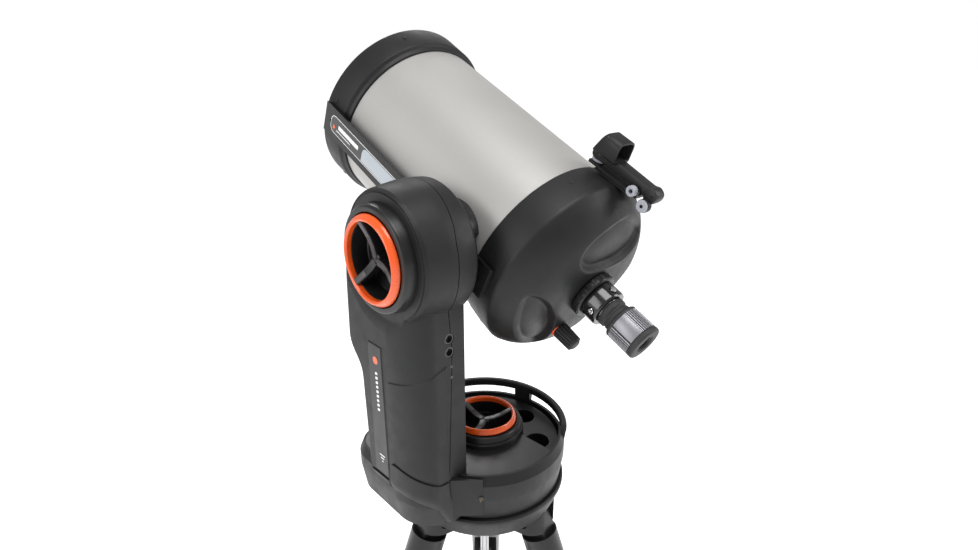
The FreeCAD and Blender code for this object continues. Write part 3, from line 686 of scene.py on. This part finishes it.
def focus_knob():
    place = TUBE @ Matrix.Translation((-21, 57, 0))
    profile = rounded([(0, -161.6), (6.6, -161.6), (8.0, -159.4), (9.2, -140), (9.4, -134), (8.6, -131.6),
                       (4, -131), (4, -106), (0, -106)], 1.2, closed=False, steps=3)
    grip = lathe("focus_grip", profile, place, rubber(), 64)
    bars = ribs("focus_ribs", ring_of(16), 7.5, 2.1, 2.3, -159.2, -134.6, place, rubber(), 1.13)
    settle(merged(grip, bars), "focus_knob")
    band = lathe("focus_band",
                 [(9, -133.2), (10.9, -133.2), (11.4, -132.6), (11.4, -131.4), (9, -131.4), (9, -133.2)],
                 place, orange(), 64)
    trim(band, "rear_cell")


# ---- finder -------------------------------------------------------------------------------------------
def finder():
    """Red-dot sight: foot, cradle, body with an open hood, and its light knobs."""
    refined("finder_bracket", charcoal(), 0.8)
    refined("finder_cradle", charcoal(), 0.6)
    side = basis(TUBE @ Vector((28, 0, 0)), -TUBE_DIR, -(TUBE.to_3x3() @ Y).normalized(),
                 X)  # back, up, sideways
    rail = rounded([(44, 127.2, 3), (41.5, 133), (43, 139.2, 5), (76, 139.2, 1), (124, 138.2, 3),
                    (130, 140.6, 5),
                    (138, 136.5, 6), (138.5, 129, 5), (133, 120, 8), (126, 120, 5), (123, 127.2, 2)], 3)
    body = prism("finder_rail", rail, -8, 8, side, charcoal(), 1.1)
    front = basis(TUBE @ Vector((28, 0, 0)), X, -(TUBE.to_3x3() @ Y).normalized(), TUBE_DIR)
    hood_out = rounded([(-15, 136, 4), (-15, 161, 9), (15, 161, 9), (15, 136, 4)], 4, steps=6)
    hood_in = rounded([(-12.8, 139.4, 2), (-12.8, 158.9, 7.4), (12.8, 158.9, 7.4), (12.8, 139.4, 2)], 3,
                      steps=6)
    bm = bmesh.new()
    rings = []
    for outline, t in ((hood_out, -76), (hood_out, -49), (hood_in, -49), (hood_in, -76)):
        lean = 4.0 if t > -60 else -1.0
        rings.append([bm.verts.new((x, y, t + lean * (150 - y) / 12)) for x, y in outline])
    skinned(bm, rings + rings[:1])
    hood = bevelled(add_mesh("finder_hood", bm, front, charcoal()), 0.5)
    marks = [lathe(f"finder_mark_{k}", [(0, 7.4), (1.9, 7.4), (1.9, 8.35), (1.2, 8.5), (0, 8.1)],
                   side @ Matrix.Translation((x, y, 0)) @ Matrix.Rotation(math.pi, 4, "Y"), black_gloss(), 24)
             for k, (x, y) in enumerate(((53, 134.2), (133, 133)))]
    settle(merged(body, hood, *marks), "finder_body")
    window = prism("finder_window", [(-12.9, 139.3), (-12.9, 159), (12.9, 159), (12.9, 139.3)], -56, -54.6,
                   front,
                   glass())
    trim(window, "finder_body")
    for node in ("finder_tilt_knob", "finder_pan_knob"):
        refined(node, light_grey(), 0.6)
    refined("finder_power_knob", light_grey(), 0.8)
    trim(lathe("power_knob_rim",
               [(5.2, 7.8), (7.5, 7.8), (7.5, 14), (6.8, 14.8), (5.6, 14.8), (5.2, 14.2), (5.2, 7.8)],
               side @ Matrix.Translation((131, 120.5, 0)) @ Matrix.Rotation(math.pi, 4, "Y"), charcoal(), 48),
         "finder_power_knob")
    trim(lathe("power_knob_eye", [(0, 15.6), (1.7, 15.6), (2.0, 16.3), (0, 16.35)],
               side @ Matrix.Translation((131, 120.5, 0)) @ Matrix.Rotation(math.pi, 4, "Y"), black_gloss(),
               32),
         "finder_power_knob")


# ---- clutch knobs -------------------------------------------------------------------------------------
def clutch_knob(name, rim, opening, depth, first_spoke, matrix):
    """Cup with three rising spokes and a domed orange ring; local height 0 is the ring's face."""
    cup = rounded([(0, -depth + 4), (opening - 1, -depth + 4, 3), (opening - 0.4, -7.4, 0.6),
                   (opening + 3, -7.4),
                   (rim - 1.2, -7.8, 0.6), (rim - 2.6, -depth + 1, 1), (rim - 5, -depth), (0, -depth)], 0.8,
                  closed=False, steps=3)
    pieces = [lathe(name + "_cup", cup, matrix, smooth_charcoal(), 128)]
    top = [(6, -10.6), (opening * 0.35, -10.2), (opening * 0.6, -7.9), (opening * 0.82, -4.6),
           (opening - 0.2, -1.7)]
    for degrees in ring_of(3, first_spoke):
        radial = matrix @ Matrix.Rotation(math.radians(degrees), 4, "Z") @ Matrix.Rotation(math.pi / 2, 4,
                                                                                           "X")
        outline = [(0, -depth + 3), (0, -10.6), *top, (opening, -2.4), (opening, -depth + 3)]
        pieces.append(prism(name + "_spoke", outline, -4.4, 4.4, radial, smooth_charcoal(), 0.8))
        # Grey strips along each spoke's top edge: a painted highlight where light catches the spoke, not the
        # spoke's own colour.
        tip = [(x, y + 0.35) for x, y in top[2:]] + [(x, y - 0.6) for x, y in reversed(top[2:])]
        pieces.append(prism(name + "_tip", tip, -3.3, 3.3, radial, painted_highlight_grey(), 0.25))
    pieces.append(lathe(name + "_hub", [(0, -11), (5, -11), (7.2, -12.4), (8.2, -depth + 3), (0, -depth + 3)],
                        matrix,
                        smooth_charcoal(), 48))
    settle(merged(*pieces), name)
    ring = rounded([(opening, -7), (opening, -1.6, 1.2), (opening + 2.2, 0, 1.6), (opening + 3.7, -0.2, 1.2),
                    (rim - 0.7, -4.4, 1.4), (rim, -7.4, 0.8), (rim - 1.6, -8)], 1.0, closed=False, steps=4)
    settle(lathe(name + "_hoop", ring + ring[:1], matrix, orange(), 160), name + "_ring")


def knobs():
    clutch_knob("azimuth_knob", 43.9, 37.8, 29.0, 93, MOUNT)
    clutch_knob("altitude_knob", 50.5, 42.5, 32.0, 16, HEAD @ Matrix.Translation((0, 0, KNOB_FACE)))
    altitude = rounded([(51, 143.65), (51, 155.8), (52.2, 157.2), (57.5, 157.2, 1.4), (59.3, 155, 1.0),
                        (60.5, 146), (60.8, 143.65)], 0.6, closed=False, steps=4)
    azimuth = rounded([(44.5, -40), (44.5, -9), (46, -7.0), (49.2, -8.2, 1.4), (51.2, -14.5, 0.8),
                       (51.2, -16.2, 0.3),
                       (53.2, -16.8, 0.6), (53.8, -22), (53.8, -40)], 0.7, closed=False, steps=4)
    bezel = lathe("altitude_bezel", altitude + altitude[:1], HEAD, smooth_charcoal(), 160)
    settle(merged(bezel, lathe("azimuth_bezel", azimuth + azimuth[:1], MOUNT, smooth_charcoal(), 160)),
           "knob_bezels")


# ---- arm ----------------------------------------------------------------------------------------------
ARM_FRONT = rounded([(-86.4, 53), (-42, 54.5), (104, 58), (132, 81.5), (215, 81.5), (262, 78)], 12,
                    closed=False)
ARM_OUTER = rounded([(-86.4, 114), (-42, 150), (133, 150), (262, 146)], 10, closed=False)
ARM_SEAM = [(-110, -111), (150, -98), (240, -105), (280, -105), (345, -94), (400, -94)]   # height, x
REAR_CURVE = 70.0        # length of the arm's rounded rear corner, in plan


def arm_point(z, along, grow=0.0):
    """Point on the arm's outside; along is the plan distance past the rear corner's start."""
    outer = between(ARM_OUTER, z)
    corner = (outer + 80) / 2 + 5
    if along <= 0:
        return Vector((-outer - grow, -along, z))
    if along >= REAR_CURVE:
        return Vector((-corner + along - REAR_CURVE, -55 - grow, z))
    angle = math.pi / 2 * along / REAR_CURVE
    return Vector((-corner - (outer - corner + grow) * math.cos(angle), -(55 + grow) * math.sin(angle), z))


def arm_body(name, inset):
    heights = sorted({round(p[0], 3) for p in ARM_FRONT + ARM_OUTER})
    bm = bmesh.new()
    rings = []
    for z in heights:
        front, outer = between(ARM_FRONT, z) - inset, between(ARM_OUTER, z) - inset
        section = [(-80 - inset, -55 + inset), (-80 - inset, front), (-outer + 7, front),
                   (-outer + 3.4, front - 1),
                   (-outer + 1, front - 3.4), (-outer, front - 7)]
        section += [arm_point(z, REAR_CURVE * k / 14, -inset)[:2] for k in range(15)]
        rings.append([bm.verts.new((x, y, z)) for x, y in section])
    skinned(bm, rings)
    bm.faces.new(rings[0])
    bm.faces.new(rings[-1])
    body = add_mesh(name, bm, MOUNT, charcoal())
    i = inset
    dish = [(0, 143.3 - i), (71, 143.3 - i), (74.3, FLANGE - i), (90, 150.4 - i), (100, 170), (0, 170)]
    combined(body, lathe("tool", dish, HEAD, charcoal(), 160))
    head = rounded([(0, 77.4 + i), (76.3 - i, 77.4 + i, 1), (77.8 - i, 80, 1), (79 - i, 95, 5),
                    (78.6 - i, 110, 5),
                    (77 - i, 122, 0.6), (74.5 - i, 139.8, 0.8), (72.5 - i, 143.5 - i, 0.5),
                    (71.6 - i, 142.2 - i, 0.3),
                    (70.4 - i, 142.2 - i, 0.3), (69.8 - i, FLANGE - i, 0.3), (0, FLANGE - i)], 2,
                   closed=False, steps=6)
    return combined(body, lathe(name + "_head", head, HEAD, charcoal(), 160), "UNION")


def drum_tool(radius, low, high, matrix):
    return lathe("tool", [(0, low), (radius, low), (radius, high), (0, high)], matrix, charcoal(), 96)


def arm():
    shell = arm_body("arm_shell", 0.0)
    hollow = arm_body("arm_hollow", 4.0)
    combined(hollow, drum_tool(57, 124, 175, HEAD))
    combined(shell, hollow)
    combined(shell, drum_tool(WELL_RADIUS, 128, 175, HEAD))
    combined(shell, drum_tool(24, 60, 100, HEAD))
    for z in SOCKET_HEIGHTS:
        combined(shell, drum_tool(6.4, 49, 60, basis(MOUNT @ Vector((-101.5, 0, z)), X, Z, -Y)))
    knife = [(x - SEAM_HALF, z) for z, x in ARM_SEAM] + [(x + SEAM_HALF, z) for z, x in reversed(ARM_SEAM)]
    combined(shell, prism("tool", knife, -150, 150, basis(AZIMUTH, X, Z, -Y), charcoal()))
    split_arm(shell)


def split_arm(shell):
    """The seam has cut the shell in two: each side becomes its own piece."""
    for node, outside in (("arm_outer_shell", True), ("arm_inner_shell", False)):
        bm = bmesh.new()
        bm.from_mesh(shell.data)
        local = MOUNT.inverted()
        drop = []
        for face in bm.faces:
            centre = local @ face.calc_center_median()
            if (centre.x < between(ARM_SEAM, centre.z)) != outside:
                drop.append(face)
        bmesh.ops.delete(bm, geom=drop, context="FACES")
        piece = add_mesh(node + "_moulding", bm, Matrix.Identity(4), charcoal(), 28)
        weighed(piece, 28)
        settle(piece, node)
    bpy.data.objects.remove(shell)


def draped(name, left, right, top, bottom, grow, material):
    """Plate that follows the arm's outside, with its border given along the plan path."""
    bm = bmesh.new()
    columns, rows = 30, 20
    layers = []
    for lift in (grow, grow - 3.0):
        layer = []
        for j in range(rows + 1):
            row = []
            for i in range(columns + 1):
                start = left[0] + (left[1] - left[0]) * j / rows
                along = start + (right - start) * i / columns
                low, high = between(bottom, along), between(top, along)
                row.append(bm.verts.new(arm_point(low + (high - low) * j / rows, along, lift)))
            layer.append(row)
        skinned(bm, layer, closed=False)
        layers.append(layer)
    outer, inner = layers
    border = [(0, i) for i in range(columns)] + [(j, columns) for j in range(rows)]
    border += [(rows, columns - i) for i in range(columns)] + [(rows - j, 0) for j in range(rows)]
    for (j0, i0), (j1, i1) in zip(border, border[1:] + border[:1]):
        bm.faces.new((outer[j0][i0], outer[j1][i1], inner[j1][i1], inner[j0][i0]))
    piece = add_mesh(name, bm, MOUNT, material, 40)
    bevelled(piece, 1.2, 1, 40)
    return trim(piece, "arm_outer_shell")


def arm_details():
    foot_line = [(-60, -38), (-37, -36), (-7, -34), (-3, -5), (6, -3.5), (47, -14.5), (REAR_CURVE, -21.5),
                 (104, -23)]
    draped("arm_panel", (6, 2), REAR_CURVE + 14, [(0, 108.5), (47, 121), (REAR_CURVE, 130), (90, 136)],
           [(0, -0.5), (6, -2), (47, -12.5), (REAR_CURVE, -19.5), (104, -21.5)], 1.1, charcoal())
    draped("arm_strip", (-37, -35), -8, [(-40, 148), (0, 148)], [(-40, -32), (0, -32)], 1.0,
           smooth_charcoal())
    draped("arm_foot", (-47, -47), REAR_CURVE + 12, [(x, z - 0.5) for x, z in foot_line],
           [(-60, -84), (120, -84)], 1.9, charcoal())
    face = basis(AZIMUTH, Y, Z, X)
    dot = lathe("arm_dot", [(0, 1.25), (4.9, 1.25), (4.9, 0), (0, 0)],
                HEAD @ Matrix.Translation((128 - ALTITUDE_UP, 20, 150)),
                orange(), 48)
    trim(dot, "arm_outer_shell")
    strokes = []
    for k in range(9):
        z = 113 - 6.1 * k
        strokes.append(rounded([(17.6, z), (22.2, z - 0.8), (22.2, z - 4.2), (17.6, z - 3.4)], 0.6, steps=2))
    for k, half in enumerate((5.5, 3.6, 1.6)):
        z = -3 - 4.4 * k
        strokes.append(rounded([(20 - half, z), (20 + half, z), (20 + half, z - 1.7), (20 - half, z - 1.7)],
                               0.6, steps=2))
    marks = [prism(f"arm_mark_{k}", s, -151.25, -149.5, face, white_print()) for k, s in enumerate(strokes)]
    trim(merged(*marks), "arm_outer_shell")
    rear = basis(AZIMUTH, X, Z, -Y)
    holes = [lathe(f"arm_pin_{k}", [(0, 54.6), (1.9, 54.6), (1.9, 55.25), (0, 55.1)],
                   rear @ Matrix.Translation((-99.5, z, 0)), black_gloss(), 24) for k,
             z in enumerate((131, 117.5))]
    trim(merged(*holes), "arm_outer_shell")
    refined("arm_sockets", black_gloss(), 0.3)
    trim(lathe("foot_jack", [(1.3, 0), (3.0, 0), (3.0, 1.2), (2.6, 1.6), (1.6, 1.6), (1.3, 1.2), (1.3, 0)],
               basis(MOUNT @ Vector((-78.1, -79.4, -50)), Z, Vector((0.59, -0.81, 0)).cross(Z),
                     Vector((-0.59, -0.81, 0))),
               brass(), 32), "arm_sockets")
    refined("arm_foot_panel", charcoal(), 0.8)


# ---- base ---------------------------------------------------------------------------------------------
def base():
    for node in ("drum_shell", "azimuth_base"):
        refined(node, charcoal(), 1.0)
    refined("carry_handle", charcoal(), 0.8)
    refined("eyepiece_tray", charcoal(), 0.8)
    refined("tray_cover", smooth_charcoal(), 0.9)
    repaint("azimuth_gear", brass())
    repaint("drive_motors", steel())
    repaint("axis_bearings", steel())
    repaint("battery_pack", cell_wrap())
    repaint("altitude_shaft", steel())


def altitude():
    refined("altitude_hub", smooth_charcoal(), 1.6)
    refined("saddle", black_anodised(), 0.8)
    refined("saddle_knob", orange(), 0.6)


# ---- tripod -------------------------------------------------------------------------------------------
def tripod():
    refined("tripod_hub", charcoal(), 1.6)
    repaint("hub_fasteners", steel())
    repaint("tension_rod", steel())
    refined("spreader", charcoal(), 1.0)
    refined("spreader_knob", rubber(), 1.2)
    for number in (1, 2, 3):
        refined(f"leg_tube_{number}", smooth_charcoal(), 1.2)
        refined(f"leg_inner_{number}", steel(), 0.5)
        refined(f"leg_foot_{number}", rubber(), 1.0)
        refined(f"leg_knob_{number}", rubber(), 1.0)


studio()
tube_parts()
dovetail()
visual_back()
eyepiece()
focus_knob()
finder()
knobs()
arm()
arm_details()
base()
altitude()
tripod()
assert DONE == set(NODES), set(NODES) - DONE
